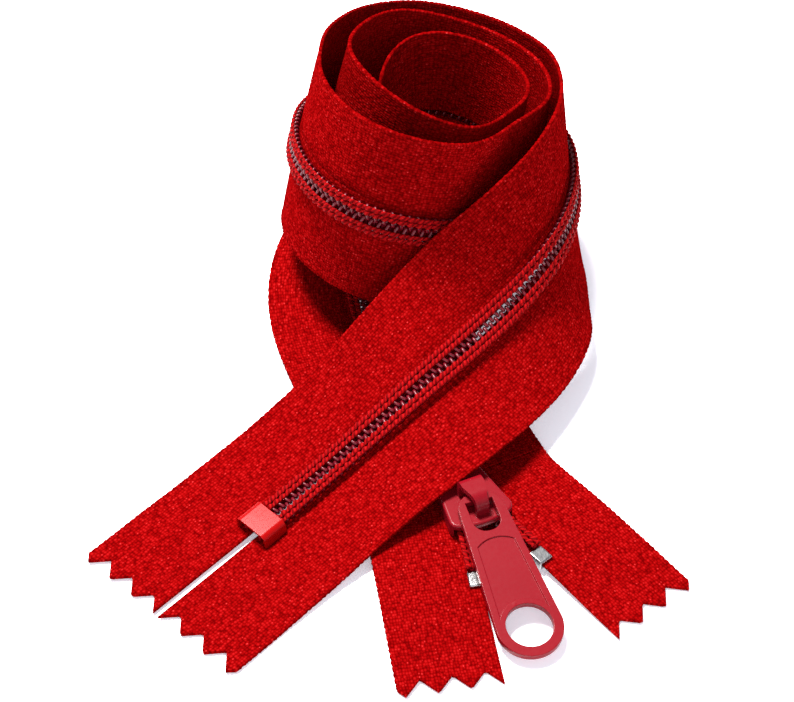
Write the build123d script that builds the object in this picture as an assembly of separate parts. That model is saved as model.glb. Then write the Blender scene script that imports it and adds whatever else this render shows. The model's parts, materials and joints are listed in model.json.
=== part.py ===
from build123d import *
from math import ceil, cos, radians, sin
import os

import numpy as np

# A closed-end nylon coil zipper with a long pull, rolled up and standing on its tape edge.
# Millimetres, +Z up. The origin is on the surface it rests on, below the middle of its outline.

# ---- tape and chain ----
TAPE_EDGE = 16.0            # chain centre line to the selvage
TAPE_INNER = 0.5            # chain centre line to the inner edge of the tape
TAPE_THICK = 0.6
CHAIN_WIDTH = 5.4           # across both coils
COIL_GAP = 0.24             # between the two coil envelopes
COIL_HEIGHT = 1.55
SEWN_GAP = 0.03             # between pieces that are sewn together
CORD_WIDTH = 1.1
CORD_HEIGHT = 0.9
CORD_PLACE = 1.5            # chain centre line to the middle of the cord
THREAD_WIDTH = 0.35
THREAD_HEIGHT = 0.2
THREAD_PLACES = (1.0, 2.1)  # chain centre line to the two rows of stitches
TOOTH_COUNT = 3             # pinked teeth across each tape end
TOOTH_DEPTH = 2.6

# ---- stops ----
BOTTOM_STOP_LENGTH = 4.4
BOTTOM_STOP_SHEET = 0.45
BOTTOM_STOP_ROUND = 1.1     # outer radius of its two long edges
STOP_CLEAR = 0.08
TOP_STOP_LENGTH = 2.8
TOP_STOP_WIDTH = 2.5
TOP_STOP_WALL = 0.55
TOP_STOP_PLACE = 14.7       # parting point to the near end of a top stop

# ---- tape ends beyond the parting point ----
SPREAD = 15.0               # each tape end turns out by this angle
LEG_LENGTH = 34.0
LEG_LEVEL = 17.8            # length that stays level before the tape comes down to the surface
LEG_END_HEIGHT = 0.45
JOINT_GAP = 0.3

# ---- slider ----
HEADING = -65.5             # direction in which the slider faces, in plan
SLIDER_REAR = 5.5           # parting point to the rear of the slider
SLIDER_FRONT = 6.6          # parting point to the shoulders
NOSE = 1.3                  # bulge of the front between the shoulders
FLANGE = 0.45
SHOULDER_RADIUS = 1.5
WING = 0.9                  # thickness of the upper and lower wings
COIL_CLEAR = 0.3
PARTED_ROOM = 1.9           # extra half width at the shoulders, where the coils part
REAR_CHANNEL = CHAIN_WIDTH / 2 + COIL_CLEAR     # half width of the channel at the rear
MOUTH_CHANNEL = REAR_CHANNEL + PARTED_ROOM      # half width of the channel at the shoulders
TAPE_SLOT = 0.28            # clearance of the tape on each side of its slot
NECK_WIDTH = 2.3
NECK_BACK = 2.6
NECK_WIDEST = 5.2
STRAP_THICK = 0.85
STRAP_RISE = 2.6            # clear height under the strap
STRAP_FRONT = 6.5           # parting point to the strap's front face
STRAP_BACK = 1.1            # parting point to its rear face
STRAP_SINK = 0.3            # depth of its feet in the wing
STRAP_REAR_ROUND = 1.2      # outer radius of its rear bend
STRAP_REAR_INNER = 0.4      # inner radius of its rear bend
STRAP_TAPER = 1.4           # the narrowing starts this far behind the front bend
STRAP_TOP_WIDTH = 3.7
STRAP_TIP_WIDTH = 2.1
STRAP_BEND = 2.2            # outer radius where the strap turns down at its front

# ---- pull tab ----
TAB_THICK = 1.2
TAB_TOP_WIDTH = 6.9
TAB_END_WIDTH = 10.1
TAB_HOLE_RADIUS = 3.5
TAB_SPAN = 22.6             # hinge to the middle of the large hole
TAB_BAR = 1.2               # material above the small opening
TAB_SHOULDER = 1.6
TAB_SLOT_CLEAR = 0.3        # between the strap and each side of the small opening
TAB_SLOT_WIDTH = STRAP_TOP_WIDTH + 2 * TAB_SLOT_CLEAR
TAB_SLOT_LENGTH = 5.4
TAB_PANEL_DEPTH = 0.22
TAB_RIM = 1.15
TAB_RING = 0.9              # border of the large hole inside the panel
TAB_PANEL_GAP = 1.3         # small opening to the panel
TAB_PANEL_CROWN = 1.0       # rise of the panel's curved top
TAB_YAW = -6.0              # the tab lies a little askew of the slider
TAB_TILT = 8.9              # and slopes down to its free end
TAB_LIFT = 0.75             # clear height between the upper wing and the tab's bar

# Middle of the outline in the frame in which the route is written.
CENTRE_X = -1.535
CENTRE_Y = -7.372

# Chain centre line, from the bottom end to the parting point: x, y, z, then how far the upper and
# the lower tape lean back from upright, in degrees. 90 is a tape that lies face up.
ROUTE = [
    (-35.5, -55, 0.52, 90, 90), (-20.5, -39, 1.03, 90, 90), (-8, -27.5, 4.2, 88, 90),
    (5, -17.4, 11, 78, 75.5), (15.5, -7, 14.5, 58, 56), (23.5, 2.5, 18.5, 32, 32),
    # outer turn
    (28, 14.5, 19, 16, 15), (28.8, 27, 18.5, 6, 5), (25, 38.5, 17, -3, -3), (15.5, 47.5, 16, -9, -9),
    (2.5, 50.8, 16.5, -12, -10), (-9.5, 43.5, 19.5, -5, -3), (-16, 30, 24, 12, 10),
    (-14, 14.5, 26.5, 15, 13), (-4, 3.9, 26.5, 12, 10), (9.5, 5.1, 23, 3, 3),
    # middle turn
    (18.5, 14.2, 20, 2, 2), (23.8, 25, 18, -4, -3), (21, 36, 16.8, -10, -10),
    (12.5, 43.5, 16.5, -14, -12), (0, 45.8, 18.5, -9, -6), (-9, 38, 22, 6, 4),
    (-11.5, 26.5, 25.5, 16, 10), (-5, 15, 26, 13, 8), (7.5, 12.3, 22, -2, 0),
    # inner turn
    (16, 19, 19, -4, -4), (19.5, 28.5, 17.5, -8, -12), (14.5, 37, 17.5, -10, -25),
    (4, 40.3, 18.5, -4, -20), (-3.3, 34.2, 17, 15, 10),
    # under the turns and flat towards the slider
    (-5.4, 24, 9, 60, 64), (-6, 11.5, 2.4, 89, 86), (-1.8, -4, 1.2, 90, 90), (4, -19, 1.4, 90, 90),
    (7.4, -27, 1.48, 90, 90), (10.3, -33.3, 1.48, 90, 90),
]
SAMPLE = 4.0                # spacing of the sections along the chain

half_tape = TAPE_THICK / 2
coil_low = half_tape + SEWN_GAP
coil_top = coil_low + COIL_HEIGHT
coil_out = CHAIN_WIDTH / 2
wing_low = coil_top + COIL_CLEAR
slot_low = half_tape + TAPE_SLOT


def natural_spline(knots, values):
    """Second derivatives of the natural cubic through the values, by the usual tridiagonal system."""
    step = np.diff(knots)
    count = len(knots)
    matrix = np.eye(count)
    right = np.zeros((count, values.shape[1]))
    for i in range(1, count - 1):
        matrix[i, i - 1:i + 2] = step[i - 1], 2 * (step[i - 1] + step[i]), step[i]
        right[i] = 6 * ((values[i + 1] - values[i]) / step[i] - (values[i] - values[i - 1]) / step[i - 1])
    return np.linalg.solve(matrix, right)


class Chain:
    """The route of the chain: a point and the directions of both tapes at any length along it."""

    def __init__(self, stations):
        self.values = np.array(stations, float)
        self.values[:, 0] -= CENTRE_X
        self.values[:, 1] -= CENTRE_Y
        gaps = np.linalg.norm(np.diff(self.values[:, :3], axis=0), axis=1)
        self.knots = np.concatenate([[0], np.cumsum(gaps)])
        self.bend = natural_spline(self.knots, self.values)
        self.length = self.knots[-1]

    def at(self, s):
        """Position and leans, and their rate of change, at length s."""
        i = min(max(int(np.searchsorted(self.knots, s)) - 1, 0), len(self.knots) - 2)
        step = self.knots[i + 1] - self.knots[i]
        b = (s - self.knots[i]) / step
        a = 1 - b
        low, high = self.values[i], self.values[i + 1]
        curve = ((a ** 3 - a) * self.bend[i] + (b ** 3 - b) * self.bend[i + 1]) * step ** 2 / 6
        slope = ((1 - 3 * a ** 2) * self.bend[i] + (3 * b ** 2 - 1) * self.bend[i + 1]) * step / 6
        return a * low + b * high + curve, (high - low) / step + slope

    def section(self, s, side):
        """Point, direction along the chain, direction across to the selvage, and face direction."""
        value, rate = self.at(s)
        along = rate[:3] / np.linalg.norm(rate[:3])
        outward = np.array([along[1], -along[0], 0.0])
        outward /= np.linalg.norm(outward)
        lean = radians(value[3] if side > 0 else value[4])
        face = cos(lean) * outward + sin(lean) * np.array([0, 0, 1.0])
        face -= face.dot(along) * along
        face /= np.linalg.norm(face)
        return value[:3], along, side * np.cross(face, along), face

    def plane(self, s, side=1):
        """Local frame at length s: x along the chain, z out of the face."""
        point, along, _, face = self.section(s, side)
        return Plane(origin=tuple(point), x_dir=tuple(along), z_dir=tuple(face))


chain = Chain(ROUTE)
stop_at = float(chain.knots[1])
parting = Plane(
    origin=(ROUTE[-1][0] - CENTRE_X, ROUTE[-1][1] - CENTRE_Y, ROUTE[-1][2]),
    x_dir=(cos(radians(HEADING)), sin(radians(HEADING)), 0),
    z_dir=(0, 0, 1),
)


def strip(side, outline, start, end):
    """Solid strip along the chain. The outline is (across, out of the face) points of its section."""
    count = max(ceil((end - start) / SAMPLE), 2)
    rails = [[] for _ in outline]
    for s in np.linspace(start, end, count + 1):
        point, _, across, face = chain.section(s, side)
        for rail, (w, n) in zip(rails, outline):
            rail.append(tuple(point + w * across + n * face))
    pace = list(np.linspace(0, 1, count + 1))
    edges = [Edge.make_spline([Vector(*p) for p in rail], parameters=pace) for rail in rails]
    faces = [Face.make_surface_from_curves(edges[i], edges[i - 1]) for i in range(len(edges))]
    for end_index in (0, -1):
        ring = [Vector(*rail[end_index]) for rail in rails]
        faces.append(Face(Wire.make_polygon(ring, close=True)))
    solid = Solid(Shell(faces))
    return solid if solid.volume > 0 else Solid(solid.wrapped.Reversed())


def box_outline(w_low, w_high, n_low, n_high):
    return [(w_low, n_low), (w_high, n_low), (w_high, n_high), (w_low, n_high)]


def coil_outline():
    """Envelope of one coil: an arch over the cord that lies on the tape."""
    cord_low = CORD_PLACE - CORD_WIDTH / 2 - SEWN_GAP
    cord_high = CORD_PLACE + CORD_WIDTH / 2 + SEWN_GAP
    roof = coil_low + CORD_HEIGHT + SEWN_GAP
    return [
        (COIL_GAP / 2, coil_low), (cord_low, coil_low), (cord_low, roof), (cord_high, roof),
        (cord_high, coil_low), (coil_out, coil_low), (coil_out, coil_top), (COIL_GAP / 2, coil_top),
    ]


def cord_outline():
    half = CORD_WIDTH / 2
    return box_outline(CORD_PLACE - half, CORD_PLACE + half, coil_low, coil_low + CORD_HEIGHT)


def thread_outline(place):
    half = THREAD_WIDTH / 2
    low = coil_top + SEWN_GAP
    return box_outline(place - half, place + half, low, low + THREAD_HEIGHT)


def pinking(side):
    """Wedges that leave pointed teeth at the bottom end of one tape."""
    pitch = (TAPE_EDGE - TAPE_INNER) / TOOTH_COUNT
    base = chain.plane(0, side)
    wedges = []
    for i in range(TOOTH_COUNT):
        left = TAPE_INNER + i * pitch
        corners = [(-1, left), (TOOTH_DEPTH, left + pitch / 2), (-1, left + pitch)]
        wire = Wire.make_polygon([Vector(u, side * w, 0) for u, w in corners], close=True)
        wedge = extrude(Face(wire), amount=2 * TAPE_THICK, both=True)
        wedges.append(base.location * wedge)
    return wedges


def tape(side):
    body = strip(side, box_outline(TAPE_INNER, TAPE_EDGE, -half_tape, half_tape), 0, chain.length)
    for wedge in pinking(side):
        body = body - wedge
    return body - bottom_stop(STOP_CLEAR)


def bottom_stop(grow=0.0):
    """Sheet clamp around the end of the chain. It is grown to cut its own passage in the tapes."""
    half = coil_out + STOP_CLEAR + BOTTOM_STOP_SHEET + grow
    top = coil_top + STOP_CLEAR + BOTTOM_STOP_SHEET
    under = -half_tape - STOP_CLEAR
    length = BOTTOM_STOP_LENGTH + 2 * grow
    outer = Pos(0, 0, top / 2 + (under - BOTTOM_STOP_SHEET) / 2) * Box(
        length, 2 * half, top - under + BOTTOM_STOP_SHEET)
    inner_half = half - BOTTOM_STOP_SHEET - 2 * grow
    inner = Pos(0, 0, (top - BOTTOM_STOP_SHEET + under) / 2) * Box(
        2 * length, 2 * inner_half, top - BOTTOM_STOP_SHEET - under)
    opening = Pos(0, 0, under - BOTTOM_STOP_SHEET / 2) * Box(2 * length, inner_half, 2 * BOTTOM_STOP_SHEET)
    shell = outer - inner - opening
    if grow == 0:
        shell = fillet(shell.edges().filter_by(Axis.X).group_by(Axis.Z)[-1], BOTTOM_STOP_ROUND)
    return chain.plane(stop_at).location * shell


def leg_point(side, d, w):
    """Point at length d and width w of a spread tape end, in the slider's plan."""
    turn = radians(SPREAD)
    return d * cos(turn) - w * sin(turn), side * (d * sin(turn) + w * cos(turn))


def leg_start(w):
    """Length at which a leg strip of this width begins, clear of the chain behind it."""
    return (JOINT_GAP + w * sin(radians(SPREAD))) / cos(radians(SPREAD))


def leg_slab(side, corners, low, high):
    """Flat plate on a leg from (length, width) corners, between two heights above the tape."""
    points = [Vector(*leg_point(side, d, w), low) for d, w in corners]
    plate = extrude(Face(Wire.make_polygon(points, close=True)), amount=high - low, dir=(0, 0, 1))
    return parting.location * plate


def leg_strip(side, w_low, w_high, low, high, end):
    corners = [(leg_start(w_low), w_low), (end, w_low), (end, w_high), (leg_start(w_high), w_high)]
    return leg_slab(side, corners, low, high)


def leg_tape(side):
    """Level beside the slider, then down to the surface, with a pinked end."""
    level = leg_strip(side, TAPE_INNER, TAPE_EDGE, -half_tape, half_tape, LEG_LEVEL)
    run = LEG_LENGTH - LEG_LEVEL
    drop = ROUTE[-1][2] - LEG_END_HEIGHT
    pitch = (TAPE_EDGE - TAPE_INNER) / TOOTH_COUNT
    outline = [(LEG_LEVEL, TAPE_INNER)]
    for i in range(TOOTH_COUNT):
        outline.append((LEG_LENGTH, TAPE_INNER + i * pitch))
        outline.append((LEG_LENGTH - TOOTH_DEPTH, TAPE_INNER + (i + 0.5) * pitch))
    outline.append((LEG_LENGTH, TAPE_EDGE))
    outline.append((LEG_LEVEL, TAPE_EDGE))
    reach = LEG_LENGTH
    side_view = [(LEG_LEVEL, half_tape), (reach, half_tape - drop), (reach, -half_tape - drop),
                 (LEG_LEVEL, -half_tape)]
    column = leg_slab(side, outline, -2 * drop, 2 * drop)
    start = leg_point(side, 0, 0)
    turn = side * SPREAD
    wall = Wire.make_polygon([Vector(d, -2 * TAPE_EDGE, n) for d, n in side_view], close=True)
    slope = extrude(Face(wall), amount=4 * TAPE_EDGE, dir=(0, 1, 0))
    slope = parting.location * Location((*start, 0), (0, 0, turn)) * slope
    return level + (slope & column)


def leg_coil(side):
    end = TOP_STOP_PLACE - JOINT_GAP
    body = leg_strip(side, COIL_GAP / 2, coil_out, coil_low, coil_top, end)
    half = CORD_WIDTH / 2 + SEWN_GAP
    low, high = CORD_PLACE - half, CORD_PLACE + half
    tunnel = leg_slab(side, [(-5, low), (end + 5, low), (end + 5, high), (-5, high)],
                      coil_low - 1, coil_low + CORD_HEIGHT + SEWN_GAP)
    return body - tunnel


def leg_cord(side):
    half = CORD_WIDTH / 2
    return leg_strip(side, CORD_PLACE - half, CORD_PLACE + half, coil_low, coil_low + CORD_HEIGHT,
                     TOP_STOP_PLACE - JOINT_GAP)


def leg_threads(side):
    low = coil_top + SEWN_GAP
    return [leg_strip(side, place - THREAD_WIDTH / 2, place + THREAD_WIDTH / 2, low, low + THREAD_HEIGHT,
                      TOP_STOP_PLACE - JOINT_GAP) for place in THREAD_PLACES]


def top_stop(side):
    """Metal clamp folded round the inner edge of a tape."""
    w_low = TAPE_INNER - STOP_CLEAR - TOP_STOP_WALL + 0.1
    w_high = w_low + TOP_STOP_WIDTH
    half = half_tape + TOP_STOP_WALL
    end = TOP_STOP_PLACE + TOP_STOP_LENGTH
    corners = [(TOP_STOP_PLACE, w_low), (end, w_low), (end, w_high), (TOP_STOP_PLACE, w_high)]
    block = leg_slab(side, corners, -half, half)
    block = fillet(block.edges().filter_by(Plane.XY), TOP_STOP_WALL * 0.6)
    gap = [(TOP_STOP_PLACE - 1, TAPE_INNER - SEWN_GAP), (end + 1, TAPE_INNER - SEWN_GAP),
           (end + 1, w_high + 1), (TOP_STOP_PLACE - 1, w_high + 1)]
    return block - leg_slab(side, gap, -half_tape - SEWN_GAP, half_tape + SEWN_GAP)


def wing(low, high):
    """Wing of the slider: narrow at the rear, wide at the shoulders, with a curved nose."""
    rear, mouth = REAR_CHANNEL + FLANGE, MOUTH_CHANNEL + FLANGE
    with BuildSketch() as sketch:
        with BuildLine():
            Polyline((SLIDER_FRONT, -mouth), (-SLIDER_REAR, -rear), (-SLIDER_REAR, rear),
                     (SLIDER_FRONT, mouth))
            ThreePointArc((SLIDER_FRONT, mouth), (SLIDER_FRONT + NOSE, 0), (SLIDER_FRONT, -mouth))
        make_face()
    plate = Pos(0, 0, low) * extrude(sketch.sketch, amount=high - low)
    plate = fillet(plate.edges().filter_by(Axis.Z), SHOULDER_RADIUS)
    outer_face = plate.faces().sort_by(Axis.Z)[-1 if low > 0 else 0]
    return fillet(outer_face.edges(), WING * 0.45)


def neck():
    """The wedge between the two channels that joins the wings."""
    half = NECK_WIDTH / 2
    back, widest, front = NECK_BACK, NECK_WIDEST, SLIDER_FRONT - 0.2
    points = [(back, 0.25), (widest, half), (front, half * 0.8), (front, -half * 0.8), (widest, -half),
              (back, -0.25)]
    wire = Wire.make_polygon([Vector(u, v, -slot_low) for u, v in points], close=True)
    return extrude(Face(wire), amount=slot_low + wing_low, dir=(0, 0, 1))


def channel():
    """The space inside the upper wing, between its flanges."""
    rear, mouth = -SLIDER_REAR - 1, SLIDER_FRONT + NOSE + 1
    corners = [(rear, -REAR_CHANNEL), (SLIDER_FRONT, -MOUTH_CHANNEL), (mouth, -MOUTH_CHANNEL),
               (mouth, MOUTH_CHANNEL), (SLIDER_FRONT, MOUTH_CHANNEL), (rear, REAR_CHANNEL)]
    face = Face(Wire.make_polygon([Vector(u, v, slot_low) for u, v in corners], close=True))
    return extrude(face, amount=wing_low - slot_low, dir=(0, 0, 1))


def strap():
    """Arched strap on the upper wing that the pull tab hangs on, broad on top and narrow in front."""
    base = wing_low + WING - STRAP_SINK
    crest = wing_low + WING + STRAP_RISE
    wide = 2 * STRAP_TOP_WIDTH

    def arch(back, front, high, back_radius, front_radius):
        block = Pos((back + front) / 2, 0, (base + high) / 2) * Box(front - back, wide, high - base)
        upper = block.edges().filter_by(Axis.Y).group_by(Axis.Z)[-1].sort_by(Axis.X)
        block = fillet(upper[-1], front_radius)
        upper = block.edges().filter_by(Axis.Y).group_by(Axis.Z)[-1].sort_by(Axis.X)
        return fillet(upper[0], back_radius)

    outer = arch(STRAP_BACK, STRAP_FRONT, crest + STRAP_THICK, STRAP_REAR_ROUND,
                 STRAP_BEND)
    inner = arch(STRAP_BACK + STRAP_THICK, STRAP_FRONT - STRAP_THICK, crest, STRAP_REAR_INNER,
                 STRAP_BEND - STRAP_THICK)
    top, tip = STRAP_TOP_WIDTH / 2, STRAP_TIP_WIDTH / 2
    plan = [(STRAP_BACK - 1, top), (STRAP_FRONT - STRAP_BEND - STRAP_TAPER, top),
            (STRAP_FRONT - STRAP_THICK, tip), (STRAP_FRONT + 1, tip)]
    ring = plan + [(u, -v) for u, v in reversed(plan)]
    wire = Wire.make_polygon([Vector(u, v, base) for u, v in ring], close=True)
    return (outer - inner) & extrude(Face(wire), amount=2 * STRAP_RISE, dir=(0, 0, 1))


def slider_body():
    upper = wing(slot_low, wing_low + WING) - channel()
    lower = wing(-slot_low - WING, -slot_low)
    body = upper + lower + neck() + strap()
    return parting.location * body


def tab_half(x):
    """Half width of the pull tab at a distance from its hinge."""
    top, end = TAB_TOP_WIDTH / 2, TAB_END_WIDTH / 2
    return top + (end - top) * x / TAB_SPAN


def tab_panel():
    """The sunk field between the two openings: an arc at its top, a ring around the large hole."""
    start = TAB_BAR / 2 + TAB_SLOT_LENGTH + TAB_PANEL_GAP
    side = start + TAB_PANEL_CROWN
    high, low = tab_half(side) - TAB_RIM, tab_half(TAB_SPAN) - TAB_RIM
    with BuildSketch() as sketch:
        with BuildLine():
            Polyline((side, high), (TAB_SPAN, low), (TAB_SPAN, -low), (side, -high))
            ThreePointArc((side, -high), (start, 0), (side, high))
        make_face()
        with Locations((TAB_SPAN, 0)):
            Circle(TAB_HOLE_RADIUS + TAB_RING, mode=Mode.SUBTRACT)
    return Pos(0, 0, TAB_THICK / 2 - TAB_PANEL_DEPTH) * extrude(sketch.sketch, amount=TAB_THICK)


def pull_tab():
    bar = -TAB_BAR / 2
    end_half = TAB_END_WIDTH / 2
    shoulder = tab_half(TAB_SHOULDER)
    with BuildSketch() as sketch:
        with BuildLine():
            Line((bar, shoulder - TAB_SHOULDER), (bar, TAB_SHOULDER - shoulder))
            RadiusArc((bar, TAB_SHOULDER - shoulder), (TAB_SHOULDER, -shoulder), -2 * TAB_SHOULDER)
            Line((TAB_SHOULDER, -shoulder), (TAB_SPAN, -end_half))
            ThreePointArc((TAB_SPAN, -end_half), (TAB_SPAN + end_half, 0), (TAB_SPAN, end_half))
            Line((TAB_SPAN, end_half), (TAB_SHOULDER, shoulder))
            RadiusArc((TAB_SHOULDER, shoulder), (bar, shoulder - TAB_SHOULDER), -2 * TAB_SHOULDER)
        make_face()
    plate = extrude(sketch.sketch, amount=TAB_THICK / 2, both=True)
    slot = Box(TAB_SLOT_LENGTH, TAB_SLOT_WIDTH, 2 * TAB_THICK)
    corners = slot.edges().filter_by(Axis.Z).sort_by(Axis.X)
    slot = fillet(corners[2:], TAB_SLOT_WIDTH * 0.45)
    plate -= Pos(TAB_BAR / 2 + TAB_SLOT_LENGTH / 2, 0, 0) * slot
    plate -= tab_panel()
    plate -= Pos(TAB_SPAN, 0, 0) * Cylinder(TAB_HOLE_RADIUS, 2 * TAB_THICK)
    pivot_u = STRAP_FRONT - STRAP_BEND
    pivot_n = wing_low + WING + TAB_LIFT + TAB_THICK / 2
    turn = Location((0, 0, 0), (0, 0, TAB_YAW)) * Location((0, 0, 0), (0, TAB_TILT, 0))
    return parting.location * Location((pivot_u, 0, pivot_n)) * turn * plate


def write(name, shape):
    solids = shape if isinstance(shape, list) else [shape]
    pieces = [solid for item in solids for solid in item.solids()]
    export_step(Compound(children=pieces) if len(pieces) > 1 else pieces[0], f"parts/{name}.step")


os.makedirs("parts", exist_ok=True)
coil_start = stop_at - BOTTOM_STOP_LENGTH / 2 + 0.3
for side_name, side in (("left", -1), ("right", 1)):
    write(f"tape_{side_name}", tape(side))
    write(f"coil_{side_name}", strip(side, coil_outline(), coil_start, chain.length))
    write(f"core_cord_{side_name}", strip(side, cord_outline(), coil_start, chain.length))
    rows = [strip(side, thread_outline(place), stop_at + BOTTOM_STOP_LENGTH / 2 + 0.2, chain.length)
            for place in THREAD_PLACES]
    write(f"stitching_{side_name}", rows)
    write(f"tape_{side_name}_end", leg_tape(side))
    write(f"coil_{side_name}_end", leg_coil(side))
    write(f"core_cord_{side_name}_end", leg_cord(side))
    write(f"stitching_{side_name}_end", leg_threads(side))
    write(f"top_stop_{side_name}", top_stop(side))
write("bottom_stop", bottom_stop())
write("slider_body", slider_body())
write("pull_tab", pull_tab())
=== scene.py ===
"""A rolled-up coil zipper: woven tapes, spiral coils, sewn threads, slider and pull tab."""
import json
from math import cos, pi, radians, sin

import bmesh
import bpy
import numpy as np
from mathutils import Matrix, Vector


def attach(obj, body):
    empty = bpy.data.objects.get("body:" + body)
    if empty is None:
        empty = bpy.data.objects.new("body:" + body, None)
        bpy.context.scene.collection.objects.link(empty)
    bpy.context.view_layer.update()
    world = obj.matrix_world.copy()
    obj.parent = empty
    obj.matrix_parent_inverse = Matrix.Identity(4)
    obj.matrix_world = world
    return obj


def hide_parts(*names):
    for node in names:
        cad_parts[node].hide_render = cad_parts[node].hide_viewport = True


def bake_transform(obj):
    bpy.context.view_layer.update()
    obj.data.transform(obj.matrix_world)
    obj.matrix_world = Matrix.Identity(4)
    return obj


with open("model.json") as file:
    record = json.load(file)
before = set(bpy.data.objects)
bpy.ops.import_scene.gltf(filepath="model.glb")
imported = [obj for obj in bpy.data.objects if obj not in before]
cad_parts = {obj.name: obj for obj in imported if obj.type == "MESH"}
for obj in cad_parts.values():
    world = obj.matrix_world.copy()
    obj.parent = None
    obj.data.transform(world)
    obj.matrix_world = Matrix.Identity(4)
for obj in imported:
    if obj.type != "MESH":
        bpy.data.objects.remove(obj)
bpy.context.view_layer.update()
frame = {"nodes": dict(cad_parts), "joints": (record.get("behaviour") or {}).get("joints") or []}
joints = {joint["name"]: joint for joint in frame["joints"]}

# Lengths below are in millimetres, and a mesh is made in metres.
MM = 0.001

# ---- tape and chain ----
TAPE_EDGE = 16.0            # chain centre line to the selvage
TAPE_INNER = 0.5            # chain centre line to the inner edge of the tape
TAPE_THICK = 0.5
CORDED_EDGE = 0.36          # radius of the corded edges
BEAD_PITCH = 1.05           # spacing of the beads along a corded edge
BEAD_SIZE = 0.16
RIPPLE = 0.09               # height of the slow ripple in a tape
GROOVE_PLACE = 3.1          # chain centre line to the groove beside the chain
GROOVE_WIDTH = 0.35
GROOVE_DEPTH = 0.22
CUT_FADE = 9.0              # length over which a cut end pulls the rows of a tape with it
TEETH = 3.25                # pinked teeth across each tape end
TOOTH_DEPTH = 2.6
COIL_PITCH = 1.28
FILAMENT = 0.27             # radius of the coil's filament
COIL_MIDDLE = 1.13          # chain centre line to the middle of a coil's loops
COIL_REACH = 1.07           # half the width of a loop's centre line
COIL_LEVEL = 0.9
COIL_RISE = 0.38
CORD_RADIUS = 0.32
CORD_PLACE = 1.5
THREAD_PLACES = (1.2, 2.1)
THREAD_RADIUS = 0.42
THREAD_LEVEL = 1.46
THREAD_FLATNESS = 0.5
THREAD_SWELL = 0.13         # rise of a stitch over a loop of the coil
THREAD_STEP = 0.21
CORD_STEP = 0.6
LOOP_STEPS = 18             # points round each loop of a coil
FACE_POINTS = 31            # points across each face of a tape
COIL_TUCK = 0.3             # length of coil inside the far end of the bottom stop
BOTTOM_STOP_LENGTH = 4.4
TOP_STOP_PLACE = 14.7

# ---- open tape ends ----
SPREAD = 15.0
LEG_LENGTH = 34.0
LEG_LEVEL = 14.0            # length that stays level before the tape comes down to the surface
LEG_END_HEIGHT = 0.45
BEND = 4.0                  # the tapes part within this length on each side of the parting point

# Chain centre line from the bottom end to the parting point, from the middle of the outline:
# x, y, z, then how far the upper and the lower tape lean back from upright, in degrees.
CENTRE = (-1.535, -7.372)
ROUTE = [
    (-35.5, -55, 0.52, 90, 90), (-20.5, -39, 1.03, 90, 90), (-8, -27.5, 4.2, 88, 90),
    (5, -17.4, 11, 78, 75.5), (15.5, -7, 14.5, 58, 56), (23.5, 2.5, 18.5, 32, 32),
    # outer turn
    (28, 14.5, 19, 16, 15), (28.8, 27, 18.5, 6, 5), (25, 38.5, 17, -3, -3), (15.5, 47.5, 16, -9, -9),
    (2.5, 50.8, 16.5, -12, -10), (-9.5, 43.5, 19.5, -5, -3), (-16, 30, 24, 12, 10),
    (-14, 14.5, 26.5, 15, 13), (-4, 3.9, 26.5, 12, 10), (9.5, 5.1, 23, 3, 3),
    # middle turn
    (18.5, 14.2, 20, 2, 2), (23.8, 25, 18, -4, -3), (21, 36, 16.8, -10, -10),
    (12.5, 43.5, 16.5, -14, -12), (0, 45.8, 18.5, -9, -6), (-9, 38, 22, 6, 4),
    (-11.5, 26.5, 25.5, 16, 10), (-5, 15, 26, 13, 8), (7.5, 12.3, 22, -2, 0),
    # inner turn
    (16, 19, 19, -4, -4), (19.5, 28.5, 17.5, -8, -12), (14.5, 37, 17.5, -10, -25),
    (4, 40.3, 18.5, -4, -20), (-3.3, 34.2, 17, 15, 10),
    # under the turns and flat towards the slider
    (-5.4, 24, 9, 60, 64), (-6, 11.5, 2.4, 89, 86), (-1.8, -4, 1.2, 90, 90), (4, -19, 1.4, 90, 90),
    (7.4, -27, 1.48, 90, 90), (10.3, -33.3, 1.48, 90, 90),
]
PATH_STEP = 0.25            # spacing at which a tape's path is worked out
ROW = 0.46                  # spacing of a tape's rows of faces
LEG_ROW = 0.3


def unit(vectors):
    return vectors / np.linalg.norm(vectors, axis=-1, keepdims=True)


def smooth(x):
    x = np.clip(x, 0, 1)
    return x * x * (3 - 2 * x)


# ---- shapes ----
def natural_spline(knots, values, s):
    """Natural cubic through the values: its value and its rate of change at every s."""
    step = np.diff(knots)
    count = len(knots)
    matrix = np.eye(count)
    right = np.zeros((count, values.shape[1]))
    inner = np.arange(1, count - 1)
    matrix[inner, inner - 1], matrix[inner, inner + 1] = step[:-1], step[1:]
    matrix[inner, inner] = 2 * (step[:-1] + step[1:])
    right[inner] = 6 * np.diff(np.diff(values, axis=0) / step[:, None], axis=0)
    bend = np.linalg.solve(matrix, right)
    i = np.clip(np.searchsorted(knots, s) - 1, 0, count - 2)
    h = step[i][:, None]
    b = ((s - knots[i]) / step[i])[:, None]
    a = 1 - b
    curve = ((a ** 3 - a) * bend[i] + (b ** 3 - b) * bend[i + 1]) * h ** 2 / 6
    slope = ((1 - 3 * a ** 2) * bend[i] + (3 * b ** 2 - 1) * bend[i + 1]) * h / 6
    return a * values[i] + b * values[i + 1] + curve, np.diff(values, axis=0)[i] / h + slope


stations = np.array(ROUTE, float)
stations[:, :2] -= CENTRE
knots = np.concatenate([[0], np.cumsum(np.linalg.norm(np.diff(stations[:, :3], axis=0), axis=1))])
chain_length = knots[-1]
stop_at = knots[1]
seam = chain_length - BEND
forward = np.array(joints["slider_slide"]["axis"])


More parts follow.
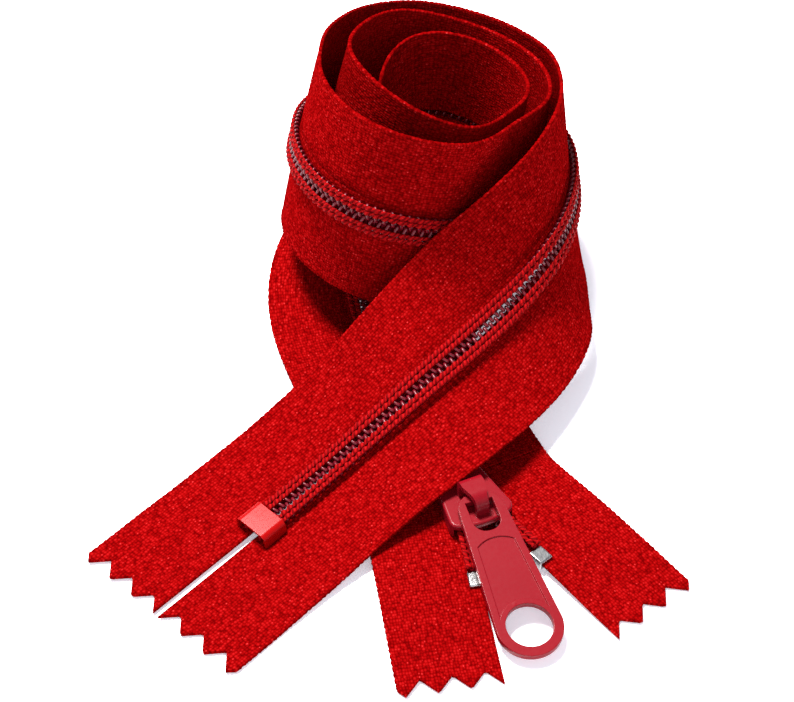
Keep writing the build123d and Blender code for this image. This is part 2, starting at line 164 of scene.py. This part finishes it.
class TapePath:
    """One tape's path: along the rolled chain, then out along the spread end beyond the slider."""

    def __init__(self, side):
        s = np.arange(0, seam, PATH_STEP)
        value, rate = natural_spline(knots, stations, s)
        along = unit(rate[:, :3])
        outward = unit(np.stack([along[:, 1], -along[:, 0], 0 * s], 1))
        lean = np.radians(value[:, 3 if side > 0 else 4])[:, None]
        face = np.cos(lean) * outward + np.sin(lean) * np.array([0, 0, 1.0])
        face = unit(face - (face * along).sum(1, keepdims=True) * along)
        centre, across = value[:, :3], side * np.cross(face, along)
        # Beyond the seam the heading turns by the spread angle, smoothly over the bend.
        d = np.arange(-BEND, LEG_LENGTH + PATH_STEP, PATH_STEP)
        start = np.arctan2(along[-1, 1], along[-1, 0])
        end = np.arctan2(forward[1], forward[0]) + side * radians(SPREAD)
        heading = start + (end - start) * smooth((d + BEND) / (2 * BEND))
        ahead = np.stack([np.cos(heading), np.sin(heading), 0 * d], 1)
        first, _ = natural_spline(knots, stations, np.array([seam]))
        middle = (ahead[1:] + ahead[:-1]) / 2 * np.diff(d)[:, None]
        leg = first[0, :3] + np.concatenate([[[0, 0, 0]], np.cumsum(middle, axis=0)])
        fall = smooth((d - LEG_LEVEL) / (LEG_LENGTH - LEG_LEVEL))
        leg[:, 2] = first[0, 2] * (1 - fall) + LEG_END_HEIGHT * fall
        up = np.tile([0, 0, 1.0], (len(d), 1))
        self.s = np.concatenate([s, chain_length + d])
        self.centre = np.concatenate([centre, leg])
        self.across = np.concatenate([across, side * np.cross(up, ahead)])
        self.face = np.concatenate([face, up])
        self.side = side

    def directions(self, s):
        pick = [np.stack([np.interp(s, self.s, v[:, k]) for k in range(3)], -1)
                for v in (self.centre, self.across, self.face)]
        return pick[0], unit(pick[1]), unit(pick[2])

    def place(self, s, w, n):
        """Point at length s, w across towards the selvage and n out of the face."""
        centre, across, face = self.directions(s)
        return centre + np.asarray(w)[..., None] * across + np.asarray(n)[..., None] * face


def make_mesh(name, points, quads, ends, along=None):
    """Mesh from points in millimetres, four-sided faces and end polygons, turned to face outwards."""
    a, b, c, d = (points[quads[:, i]] for i in range(4))
    volume = (np.cross(a, b) * c).sum() + (np.cross(a, c) * d).sum()
    faces = quads.tolist() + [list(end) for end in ends]
    if volume < 0:
        faces = [face[::-1] for face in faces]
    mesh = bpy.data.meshes.new(name)
    mesh.from_pydata((points * MM).tolist(), [], faces)
    mesh.polygons.foreach_set("use_smooth", [True] * len(quads) + [False] * len(ends))
    if along is not None:
        attribute = mesh.attributes.new("cloth", "FLOAT_VECTOR", "POINT")
        attribute.data.foreach_set("vector", along.astype(np.float32).ravel())
    mesh.update()
    piece = bpy.data.objects.new(name, mesh)
    bpy.context.scene.collection.objects.link(piece)
    return piece


def loft(name, rings, along=None, across=0):
    """Closed skin over rows of rings, with a flat end at the first and the last ring. A ring that
    starts with the given number of points across one face, and returns by as many across the other,
    is closed by a strip between the two."""
    rows, cols = rings.shape[:2]
    i, j = np.meshgrid(np.arange(rows - 1), np.arange(cols), indexing="ij")
    k = (j + 1) % cols
    quads = np.stack([i * cols + j, i * cols + k, (i + 1) * cols + k, (i + 1) * cols + j], -1)
    if across:
        mate = cols - 1 - (cols - 2 * across) // 2
        ends = [[i, i + 1, mate - i - 1, mate - i] for i in range(across - 1)]
        ends.append(list(range(across - 1, mate - across + 2)))
        ends.append(list(range(mate, cols)) + [0])
    else:
        ends = [list(range(cols))]
    first = [end[::-1] for end in ends]
    last = [[i + (rows - 1) * cols for i in end] for end in ends]
    flat = None if along is None else along.reshape(-1, 3)
    return make_mesh(name, rings.reshape(-1, 3), quads.reshape(-1, 4), first + last, flat)


def tube(name, path, reference, radius, sides, along, flatness=1.0):
    """Tube along a path. Each ring starts in the direction of the reference vectors, and is
    flattened across them."""
    heading = unit(np.gradient(path, axis=0))
    first = unit(reference - (reference * heading).sum(1, keepdims=True) * heading)
    second = flatness * np.cross(heading, first)
    turn = np.arange(sides) * 2 * pi / sides
    radius = np.broadcast_to(radius, len(path))[:, None, None]
    ring = (np.cos(turn)[None, :, None] * first[:, None] + np.sin(turn)[None, :, None] * second[:, None])
    rings = path[:, None] + radius * ring
    mark = np.repeat(along[:, None], sides, axis=1)
    mark = np.stack([mark, np.broadcast_to(turn, mark.shape), 0 * mark], -1)
    return loft(name, rings, mark)


def tape_profile():
    """Closed outline of a tape's section: w across, n out of the face. The two edges are round cords,
    and the flat between them has a shallow groove beside the chain."""
    half = TAPE_THICK / 2
    flat = np.linspace(TAPE_INNER + 2 * CORDED_EDGE, TAPE_EDGE - 2 * CORDED_EDGE, FACE_POINTS)
    groove = GROOVE_DEPTH * np.exp(-((flat - GROOVE_PLACE) / GROOVE_WIDTH) ** 2)
    turn = np.linspace(0, pi, 7)[1:-1]
    outer_w = TAPE_EDGE - CORDED_EDGE + CORDED_EDGE * np.sin(turn)
    outer_n = CORDED_EDGE * np.cos(turn)
    inner_w = TAPE_INNER + CORDED_EDGE - CORDED_EDGE * np.sin(turn)
    w = np.concatenate([flat, outer_w, flat[::-1], inner_w[::-1]])
    n = np.concatenate([half - groove, outer_n, -half + 0 * flat, outer_n[::-1]])
    return w, n


def pinked(w):
    """How far back the end of the tape is cut at width w: a row of pointed teeth."""
    pitch = (TAPE_EDGE - TAPE_INNER) / TEETH
    phase = ((w - TAPE_INNER) / pitch) % 1
    return TOOTH_DEPTH * (1 - np.abs(2 * phase - 1))


def tape(name, path, start, end, row, cut_start, cut_end):
    """The tape's section along its path. Beads swell its corded edges at an even pitch, and a slow
    ripple keeps it from lying quite flat. A cut end is pulled back into pinked teeth."""
    w, n = tape_profile()
    rows = int((end - start) / row) + 1
    s = np.linspace(start, end, rows)[:, None] + 0 * w
    if cut_start:
        s = s + pinked(w) * np.clip(1 - (s - start) / CUT_FADE, 0, 1)
    if cut_end:
        s = s - pinked(w) * np.clip(1 - (end - s) / CUT_FADE, 0, 1)
    edge = np.clip((w - (TAPE_EDGE - 2 * CORDED_EDGE)) / (2 * CORDED_EDGE), 0, 1)
    bead = np.abs(np.sin(pi * s / BEAD_PITCH + path.side))
    out = w + edge * BEAD_SIZE * (bead - 0.6)
    high = n * (1 + 0.35 * edge * (bead - 0.6))
    ripple = RIPPLE * np.sin(s / 3.1 + path.side) * np.sin(s / 7.3 + w / 5)
    ripple = ripple * smooth((w - 3) / 6)
    rings = path.place(s, out, high + ripple)
    return loft(name, rings, np.stack([s, w + 0 * s, 0 * s], -1), FACE_POINTS)


def coil(name, path, start, end):
    """Filament wound in oval loops round the cord, one loop to a pitch, offset by half a pitch
    from the loops of the other tape so that their heads interlock."""
    offset = 0.5 * COIL_PITCH * (path.side > 0)
    first, last = np.ceil(start / COIL_PITCH), np.floor(end / COIL_PITCH) - 1
    count = int(last - first)
    t = np.linspace(0, count, count * LOOP_STEPS + 1)
    angle = 2 * pi * t + pi / 2
    head = np.maximum(-np.cos(angle), 0) ** 6
    s = (first + t) * COIL_PITCH + offset
    w = COIL_MIDDLE + COIL_REACH * np.sign(np.cos(angle)) * np.abs(np.cos(angle)) ** 0.8 - 0.14 * head
    n = COIL_LEVEL + COIL_RISE * np.sign(np.sin(angle)) * np.abs(np.sin(angle)) ** 0.7
    line = path.place(s, w, n)
    centre, _, _ = path.directions(s)
    return tube(name, line, unit(np.gradient(centre, axis=0)), FILAMENT * (1 + 0.12 * head), 6, t)


def strand(name, path, start, end, w, n, radius, step, swell=0.0, flatness=1.0):
    """Cord or thread that runs along the chain. A thread rises over each loop and dips between."""
    s = np.linspace(start, end, int((end - start) / step))
    wave = np.cos(2 * pi * (s / COIL_PITCH - 0.5 * (path.side > 0)))
    level = n + swell * wave
    _, across, _ = path.directions(s)
    thick = radius * (1 + 0.18 * np.sign(swell) * wave)
    return tube(name, path.place(s, w + 0 * s, level), across, thick, 8, s, flatness)


# ---- materials ----
class Value:
    """A socket in a node tree. Arithmetic on it adds Math nodes."""

    def __init__(self, shader, socket):
        self.shader, self.socket = shader, socket

    def math(self, operation, *others):
        inputs = {i: other for i, other in enumerate((self,) + others)}
        return self.shader.node("ShaderNodeMath", {"operation": operation}, inputs)

    def __add__(self, other):
        return self.math("ADD", other)

    def __mul__(self, other):
        return self.math("MULTIPLY", other)

    def __rsub__(self, other):
        return self.shader.node("ShaderNodeMath", {"operation": "SUBTRACT"}, {0: other, 1: self})

    __radd__, __rmul__ = __add__, __mul__


class Shader:
    """A material with a Principled shader and short ways to add nodes to it."""

    def __init__(self, name, **constants):
        self.material = bpy.data.materials.new(name)
        self.material.use_nodes = True
        self.tree = self.material.node_tree
        self.surface = self.tree.nodes["Principled BSDF"]
        for key, value in constants.items():
            self.surface.inputs[key.replace("_", " ")].default_value = value

    def node(self, kind, settings, inputs, output=0):
        """Adds a node, makes its settings, then sets or links its inputs, and gives one output."""
        node = self.tree.nodes.new(kind)
        for key, value in settings.items():
            if key == "stops":
                ramp = node.color_ramp
                while len(ramp.elements) < len(value):
                    ramp.elements.new(0.5)
                for element, (place, colour) in zip(ramp.elements, value):
                    element.position, element.color = place, (*colour, 1)
            else:
                setattr(node, key, value)
        for key, value in inputs.items():
            self.feed(node.inputs[key], value)
        return Value(self, node.outputs[output])

    def feed(self, socket, value):
        if isinstance(value, Value):
            self.tree.links.new(value.socket, socket)
        elif isinstance(value, tuple) and socket.type == "RGBA":
            socket.default_value = (*value, 1)
        else:
            socket.default_value = value

    def set(self, **inputs):
        for key, value in inputs.items():
            self.feed(self.surface.inputs[key.replace("_", " ")], value)

    def cloth(self):
        return self.node("ShaderNodeAttribute", {"attribute_name": "cloth"}, {}, "Vector")

    def split(self, vector, axis):
        return self.node("ShaderNodeSeparateXYZ", {}, {0: vector}, axis)

    def scaled(self, vector, size):
        return self.node("ShaderNodeVectorMath", {"operation": "MULTIPLY"}, {0: vector, 1: size})

    def object_place(self):
        return self.node("ShaderNodeTexCoord", {}, {}, "Object")

    def noise(self, vector, scale, detail=2.0, output=0):
        return self.node("ShaderNodeTexNoise", {}, {"Vector": vector, "Scale": scale, "Detail": detail},
                         output)

    def cells(self, vector, scale, randomness, output="Distance"):
        return self.node("ShaderNodeTexVoronoi", {}, {"Vector": vector, "Scale": scale,
                                                       "Randomness": randomness}, output)

    def ramp(self, factor, *stops):
        return self.node("ShaderNodeValToRGB", {"stops": stops}, {"Fac": factor})

    def mix(self, factor, first, second):
        return self.node("ShaderNodeMix", {"data_type": "RGBA"}, {0: factor, 6: first, 7: second}, 2)

    def bump(self, height, strength, distance):
        return self.node("ShaderNodeBump", {}, {"Height": height, "Strength": strength,
                                                "Distance": distance})


def grey(x):
    return (x, x, x)


def woven(name, deep, body, glint):
    """Close polyester weave: short floats in offset rows, each of its own shade, painted shade in the
    gaps between floats, a painted highlight on their tops and a brighter painted glint on a few."""
    shader = Shader(name, Specular_IOR_Level=0.0)
    cloth = shader.cloth()
    grid = shader.scaled(cloth, (1.9, 2.3, 1.0))
    near = shader.cells(grid, 1.0, 0.5)
    own = shader.cells(grid, 1.0, 0.5, "Color")
    shade = shader.split(own, 0)
    spark = shader.split(own, 1)
    float_top = 1 - near * 1.25
    soft = shader.noise(shader.scaled(cloth, (0.25, 0.4, 1.0)), 1.0)
    fibre = shader.noise(shader.scaled(cloth, (9.0, 5.0, 1.0)), 1.0, 3.0)
    # Painted shade and painted highlight: float tops are coloured lighter and the gaps between floats
    # darker, laid over each float's own random tone.
    tone = float_top * 0.62 + shade * 0.22 + fibre * 0.22 + soft * 0.1
    # deep is the painted shade in the gaps between floats; glint is a painted highlight on the float
    # tops.
    colour = shader.ramp(tone, (0.28, deep), (0.62, body), (1.0, glint))
    # Painted glints: a few float tops get a pink painted highlight mixed into the base colour, because
    # the weave has no specular.
    lit = shader.ramp(spark * float_top, (0.66, grey(0.0)), (0.86, grey(1.0)))
    colour = shader.mix(lit * 0.5, colour, (0.62, 0.06, 0.06))
    height = float_top * 0.7 + fibre * 0.2
    shader.set(Base_Color=colour, Roughness=0.62 - lit * 0.25,
               Normal=shader.bump(height, 0.65, 0.00018))
    return shader.material


def moulded(name, deep, body, roughness):
    """Drawn nylon: smooth and slightly cloudy."""
    shader = Shader(name, Specular_IOR_Level=0.35)
    place = shader.object_place()
    cloud = shader.noise(place, 900.0)
    colour = shader.mix(cloud, deep, body)
    shader.set(Base_Color=colour, Roughness=roughness + cloud * 0.12)
    return shader.material


def spun(name, deep, body):
    """Twisted thread: slanting plies along its length."""
    shader = Shader(name, Specular_IOR_Level=0.03)
    cloth = shader.cloth()
    length, turn = shader.split(cloth, 0), shader.split(cloth, 1)
    ply = (length * 9.0 + turn * 2.0).math("SINE") * 0.5 + 0.5
    shader.set(Base_Color=shader.mix(ply, deep, body), Roughness=0.75 - ply * 0.12,
               Normal=shader.bump(ply, 0.5, 0.0001))
    return shader.material


def painted(name, body, worn, orange_peel, dullness, coat):
    """Baked gloss paint: even colour, faint unevenness, a little dust in the gloss."""
    shader = Shader(name, Coat_Weight=coat, Coat_Roughness=0.12, Specular_IOR_Level=0.12)
    place = shader.object_place()
    broad = shader.noise(place, 160.0)
    fine = shader.noise(place, 2200.0, 3.0)
    shader.set(Base_Color=shader.mix(broad, body, worn), Roughness=fine * 0.14 + dullness,
               Normal=shader.bump(fine, orange_peel, 0.00004))
    return shader.material


def bright_metal(name):
    shader = Shader(name, Metallic=1.0)
    place = shader.object_place()
    drawn = shader.noise(shader.scaled(place, (6000.0, 1200.0, 1200.0)), 1.0, 3.0)
    shader.set(Base_Color=shader.mix(drawn, grey(0.22), grey(0.45)), Roughness=0.16 + drawn * 0.15,
               Normal=shader.bump(drawn, 0.1, 0.00003))
    return shader.material


# Weave colours: painted shade between floats, the cloth's own red, and a painted highlight on the float
# tops.
tape_cloth = woven("tape_weave", (0.08, 0.0002, 0.0004), (0.20, 0.0012, 0.0014), (0.34, 0.007, 0.008))
coil_nylon = moulded("coil_nylon", (0.06, 0.001, 0.005), (0.15, 0.002, 0.008), 0.28)
cord_yarn = spun("cord_yarn", (0.12, 0.001, 0.004), (0.3, 0.004, 0.01))
sewing_thread = spun("sewing_thread", (0.10, 0.0004, 0.001), (0.30, 0.002, 0.003))
slider_paint = painted("slider_paint", (0.155, 0.002, 0.006), (0.18, 0.003, 0.008), 0.03, 0.24, 0.05)
stop_paint = painted("stop_paint", (0.24, 0.001, 0.001), (0.28, 0.002, 0.002), 0.02, 0.16, 0.0)
stop_metal = bright_metal("stop_metal")

# ---- pieces ----
paths = {"left": TapePath(-1), "right": TapePath(1)}
coil_start = stop_at - BOTTOM_STOP_LENGTH / 2 + COIL_TUCK
thread_start = stop_at + BOTTOM_STOP_LENGTH / 2
leg_end = chain_length + LEG_LENGTH
coil_end = chain_length + TOP_STOP_PLACE

floor_mesh = bpy.data.meshes.new("floor")
reach = 3.0
floor_mesh.from_pydata([(-reach, -reach, 0), (reach, -reach, 0), (reach, reach, 0), (-reach, reach, 0)],
                       [], [(0, 1, 2, 3)])
floor = bpy.data.objects.new("floor", floor_mesh)
bpy.context.scene.collection.objects.link(floor)
floor_shader = Shader("floor_white", Roughness=0.7, Specular_IOR_Level=0.2)
floor_shader.set(Base_Color=(0.93, 0.93, 0.95), Emission_Color=(0.9, 0.9, 1.0), Emission_Strength=0.35)
floor_mesh.materials.append(floor_shader.material)


def dress(piece, material, node, body=None):
    """Gives a piece its material and hides its CAD node; with a body it is baked in place, else put on
    the chain.
    """
    piece.data.materials.append(material)
    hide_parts(node)
    if body:
        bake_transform(piece)
    else:
        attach(piece, "chain")


for name, path in paths.items():
    body = f"{name}_end"
    rolled = tape(f"{name}_tape", path, 0, seam, ROW, True, False)
    spread = tape(f"{name}_tape_end", path, seam, leg_end, LEG_ROW, False, True)
    dress(rolled, tape_cloth, f"tape_{name}")
    dress(spread, tape_cloth, f"tape_{name}_end", body)
    for part, start, end, rides in (("", coil_start, seam, None), ("_end", seam, coil_end, body)):
        loops = coil(f"{name}_coil{part}", path, start, end)
        dress(loops, coil_nylon, f"coil_{name}{part}", rides)
        core = strand(f"{name}_core{part}", path, start, end, CORD_PLACE, COIL_LEVEL, CORD_RADIUS,
                      CORD_STEP)
        dress(core, cord_yarn, f"core_cord_{name}{part}", rides)
        sewn_from = thread_start if not part else start
        rows = [strand(f"{name}_stitches{part}_{i + 1}", path, sewn_from, end, place, THREAD_LEVEL,
                       THREAD_RADIUS, THREAD_STEP, THREAD_SWELL, THREAD_FLATNESS)
                for i, place in enumerate(THREAD_PLACES)]
        for row in rows:
            dress(row, sewing_thread, f"stitching_{name}{part}", rides)


def eased(name, node, body, width, material):
    """A copy of a moulded or folded CAD piece with its doubles merged, its flat faces joined and
    its sharp edges rounded to the given width."""
    mesh = frame["nodes"][node].data.copy()
    work = bmesh.new()
    work.from_mesh(mesh)
    bmesh.ops.remove_doubles(work, verts=work.verts, dist=1e-7)
    bmesh.ops.dissolve_limit(work, angle_limit=radians(1), verts=work.verts, edges=work.edges)
    work.to_mesh(mesh)
    work.free()
    mesh.materials.clear()
    mesh.materials.append(material)
    mesh.polygons.foreach_set("use_smooth", [True] * len(mesh.polygons))
    piece = bpy.data.objects.new(name, mesh)
    bpy.context.scene.collection.objects.link(piece)
    bevel = piece.modifiers.new("rounding", "BEVEL")
    bevel.width, bevel.segments = width * MM, 3
    bevel.limit_method, bevel.angle_limit = "ANGLE", radians(35)
    piece.modifiers.new("shading", "WEIGHTED_NORMAL").keep_sharp = True
    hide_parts(node)
    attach(piece, body)


eased("slider", "slider_body", "slider", 0.16, slider_paint)
eased("tab", "pull_tab", "pull", 0.1, slider_paint)
eased("bottom_clamp", "bottom_stop", "chain", 0.1, stop_paint)
eased("top_clamp_left", "top_stop_left", "left_end", 0.16, stop_metal)
eased("top_clamp_right", "top_stop_right", "right_end", 0.16, stop_metal)

# ---- light and camera ----
DEPRESSION = 45.4
CAMERA_PLACE = (1.535, -220.8, 231.4)
LENS = 88.4

# The surroundings are brighter near the horizon than overhead.
world = bpy.data.worlds.new("studio")
world.use_nodes = True
nodes, links = world.node_tree.nodes, world.node_tree.links
place = nodes.new("ShaderNodeTexCoord")
height = nodes.new("ShaderNodeSeparateXYZ")
sky = nodes.new("ShaderNodeValToRGB")
sky.color_ramp.elements[0].position, sky.color_ramp.elements[0].color = 0.05, (0.86, 0.88, 1.0, 1)
sky.color_ramp.elements[1].position, sky.color_ramp.elements[1].color = 0.75, (0.42, 0.42, 0.46, 1)
links.new(place.outputs["Generated"], height.inputs[0])
links.new(height.outputs[2], sky.inputs[0])
links.new(sky.outputs[0], nodes["Background"].inputs["Color"])
nodes["Background"].inputs["Strength"].default_value = 0.9
bpy.context.scene.world = world


def lamp(name, place, size, power, colour):
    """Square soft light, turned towards the object."""
    light = bpy.data.lights.new(name, "AREA")
    light.size, light.energy, light.color = size, power, colour
    holder = bpy.data.objects.new(name, light)
    holder.location = place
    holder.rotation_euler = (Vector((0, 0, 0.01)) - holder.location).to_track_quat("-Z", "Y").to_euler()
    bpy.context.scene.collection.objects.link(holder)


lamp("key", (-0.26, 0.34, 0.95), 0.26, 34, (1.0, 0.99, 0.97))
lamp("fill", (0.2, -0.9, 0.6), 0.9, 5, (0.96, 0.97, 1.0))

camera_data = bpy.data.cameras.new("camera")
camera_data.lens, camera_data.sensor_width = LENS, 36.0
camera_data.clip_start = 0.01
camera = bpy.data.objects.new("camera", camera_data)
camera.location = [value * MM for value in CAMERA_PLACE]
camera.rotation_euler = (radians(90 - DEPRESSION), 0, 0)
bpy.context.scene.collection.objects.link(camera)
bpy.context.scene.camera = camera
bpy.context.scene.view_settings.view_transform = "Standard"
